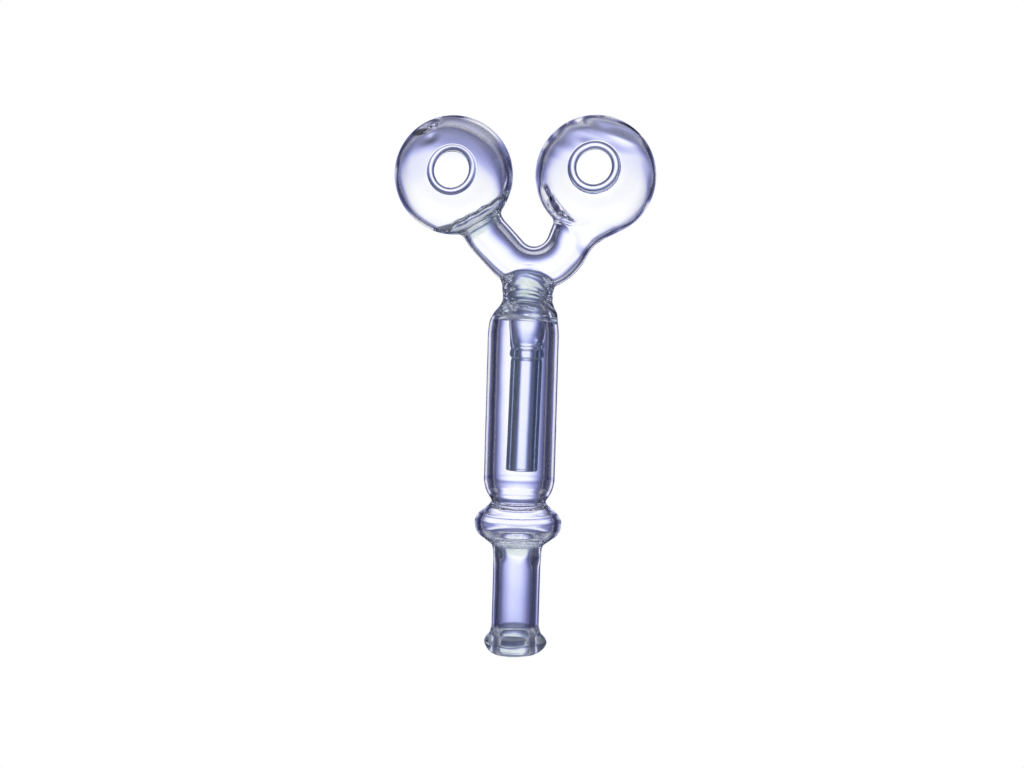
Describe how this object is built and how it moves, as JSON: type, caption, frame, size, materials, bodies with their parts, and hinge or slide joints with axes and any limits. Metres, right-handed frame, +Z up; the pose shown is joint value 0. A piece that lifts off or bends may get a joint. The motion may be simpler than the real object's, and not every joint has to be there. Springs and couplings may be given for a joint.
{
  "type": "double bulb inline water pipe",
  "caption": "Clear blown-glass inline water pipe: bulbs with open mouths on a forked tube, a straight chamber with a hanging inner tube, a ring bulge and a lipped mouthpiece.",
  "frame": {"origin": "centre of the bounding box, on the table that the pipe lies on", "axes": "+Y along the pipe from the mouthpiece to the bulbs, +Z up, out of the table and out of the bulbs' mouths, +X to the right when the mouthpiece points at the viewer"},
  "size_m": [0.066, 0.1372, 0.0301],
  "materials": {
    "tube_glass": "clear, faint lavender tint",
    "bulb_glass": "clear, thin blown wall, faint lavender tint",
    "inner_tube_glass": "clear, bluish",
    "weld_glass": "flame-worked, rippled, grey-green with fine seeds"
  },
  "bodies": {
    "root": {"left_bulb": "bulb_glass", "right_bulb": "bulb_glass", "left_mouth_rim": "bulb_glass", "right_mouth_rim": "bulb_glass", "left_bulb_seal": "weld_glass", "right_bulb_seal": "bulb_glass", "fork_tube": "tube_glass", "saddle_seal": "weld_glass", "neck_collar": "weld_glass", "shoulder_seal": "weld_glass", "chamber_tube": "tube_glass", "downtube_funnel": "inner_tube_glass", "downtube_seal": "inner_tube_glass", "down_tube": "inner_tube_glass", "waist_seal": "tube_glass", "maria_ring": "tube_glass", "maria_seal": "weld_glass", "mouthpiece_tube": "tube_glass", "mouthpiece_lip": "weld_glass"}
  },
  "joints": []
}
